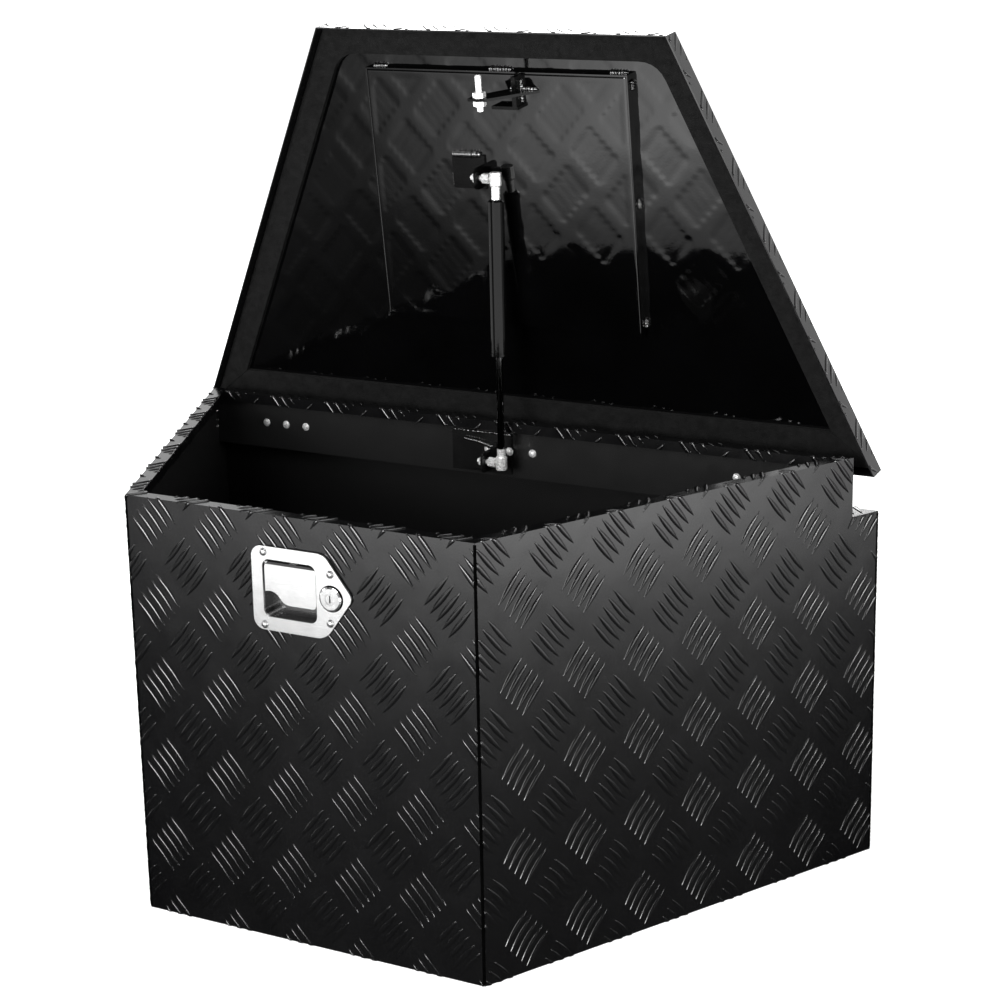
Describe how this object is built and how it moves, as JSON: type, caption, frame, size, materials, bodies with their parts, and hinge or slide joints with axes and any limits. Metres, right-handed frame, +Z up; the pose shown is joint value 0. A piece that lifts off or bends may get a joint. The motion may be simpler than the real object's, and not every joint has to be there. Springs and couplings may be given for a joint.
{
  "type": "truck tool box",
  "caption": "Trapezoid trailer-tongue tool box in black tread plate, shown open: hinged lid on one gas strut, foam seal, stiffener tray, flush stainless paddle latch with key lock.",
  "frame": {"origin": "centre of the box's base, on the underside of the floor, midway between the front and rear walls", "axes": "+X to the right along the front panel, +Y from the front panel to the hinged rear wall, +Z up; the lid is open at rest"},
  "size_m": [0.8594, 0.4878, 0.8976],
  "materials": {
    "black_panel": "gloss black powder coat on raised tread plate",
    "black_steel": "semi-gloss black paint on bent steel",
    "stainless": "polished stainless steel",
    "bright_zinc": "bright zinc-plated steel",
    "foam_seal": "matte closed-cell foam strip",
    "rubber_gasket": "matte black rubber sheet"
  },
  "bodies": {
    "box_body": {"front_panel": "black_panel", "rear_panel": "black_panel", "right_side_panel": "black_panel", "left_side_panel": "black_panel", "floor_pan": "black_panel", "hinge_left_box_leaf": "black_steel", "hinge_left_pin": "bright_zinc", "hinge_left_rivet_1": "bright_zinc", "hinge_left_rivet_2": "bright_zinc", "hinge_left_rivet_3": "bright_zinc", "hinge_centre_box_leaf": "black_steel", "hinge_centre_pin": "bright_zinc", "hinge_centre_rivet_1": "bright_zinc", "hinge_centre_rivet_2": "bright_zinc", "hinge_centre_rivet_3": "bright_zinc", "hinge_right_box_leaf": "black_steel", "hinge_right_pin": "bright_zinc", "hinge_right_rivet_1": "bright_zinc", "hinge_right_rivet_2": "bright_zinc", "hinge_right_rivet_3": "bright_zinc", "latch_dish": "stainless", "latch_gasket": "rubber_gasket", "latch_housing": "bright_zinc", "paddle_pin": "bright_zinc", "paddle_spring": "bright_zinc", "lock_body": "stainless", "lock_nut": "bright_zinc", "latch_rivet_1": "stainless", "latch_rivet_2": "stainless", "latch_rivet_3": "stainless", "latch_rivet_4": "stainless", "strut_bracket_lower": "black_steel", "strut_stud_lower": "bright_zinc", "strut_nut_lower": "bright_zinc"},
    "lid_assembly": {"hinge_left_lid_leaf": "black_steel", "hinge_centre_lid_leaf": "black_steel", "hinge_right_lid_leaf": "black_steel", "lid_skin": "black_panel", "seal_front_sides": "foam_seal", "seal_rear": "foam_seal", "stiffener_tray": "black_panel", "strut_bracket_upper": "black_steel", "striker_bracket": "black_steel", "striker_bolt": "bright_zinc", "striker_nut_front": "bright_zinc", "striker_nut_rear": "bright_zinc", "strut_stud_upper": "bright_zinc", "strut_nut_upper": "bright_zinc"},
    "strut_rod_assembly": {"strut_socket_lower": "bright_zinc", "strut_rod": "bright_zinc", "strut_piston": "bright_zinc"},
    "strut_tube_assembly": {"strut_tube": "black_steel", "strut_rod_guide": "black_steel", "strut_socket_upper": "bright_zinc", "strut_ball_upper": "bright_zinc"},
    "paddle_lever": {"paddle": "stainless"},
    "bolt_carriage": {"latch_bolt": "bright_zinc"},
    "lock_core": {"lock_plug": "stainless", "lock_cam": "bright_zinc", "lock_cam_nut": "bright_zinc"}
  },
  "joints": [
    {"name": "lid_hinge", "type": "hinge", "parent": "box_body", "child": "lid_assembly", "pos_m": [0, 0.211, 0.436], "axis": [1, 0, 0], "range_deg": [0, 82.76]},
    {"name": "strut_lower_ball", "type": "hinge", "parent": "box_body", "child": "strut_rod_assembly", "pos_m": [0.003, 0.176, 0.4133], "axis": [1, 0, 0], "range_deg": [0, 84.57]},
    {"name": "strut_extend", "type": "slide", "parent": "strut_rod_assembly", "child": "strut_tube_assembly", "axis": [0, 0.005, -1], "range_m": [0, 0.05441], "stiffness_N_per_m": 120, "springref_m": -0.4},
    {"name": "paddle_pull", "type": "hinge", "parent": "box_body", "child": "paddle_lever", "pos_m": [0, -0.238, 0.4065], "axis": [-1, 0, 0], "range_deg": [0, 35], "stiffness_Nm_per_rad": 0.15, "springref_deg": -28.65},
    {"name": "bolt_retract", "type": "slide", "parent": "box_body", "child": "bolt_carriage", "axis": [0, -1, 0], "range_m": [0, 0.00912]},
    {"name": "lock_turn", "type": "hinge", "parent": "box_body", "child": "lock_core", "pos_m": [0.0433, -0.23, 0.3808], "axis": [0, 1, 0], "range_deg": [0, 90]}
  ],
  "couplings": [
    {"joint": "strut_lower_ball", "follows": "lid_hinge", "ratio": 1.0216},
    {"joint": "strut_extend", "follows": "lid_hinge", "m_per_rad": 0.037654},
    {"joint": "bolt_retract", "follows": "paddle_pull", "m_per_rad": 0.014897}
  ]
}
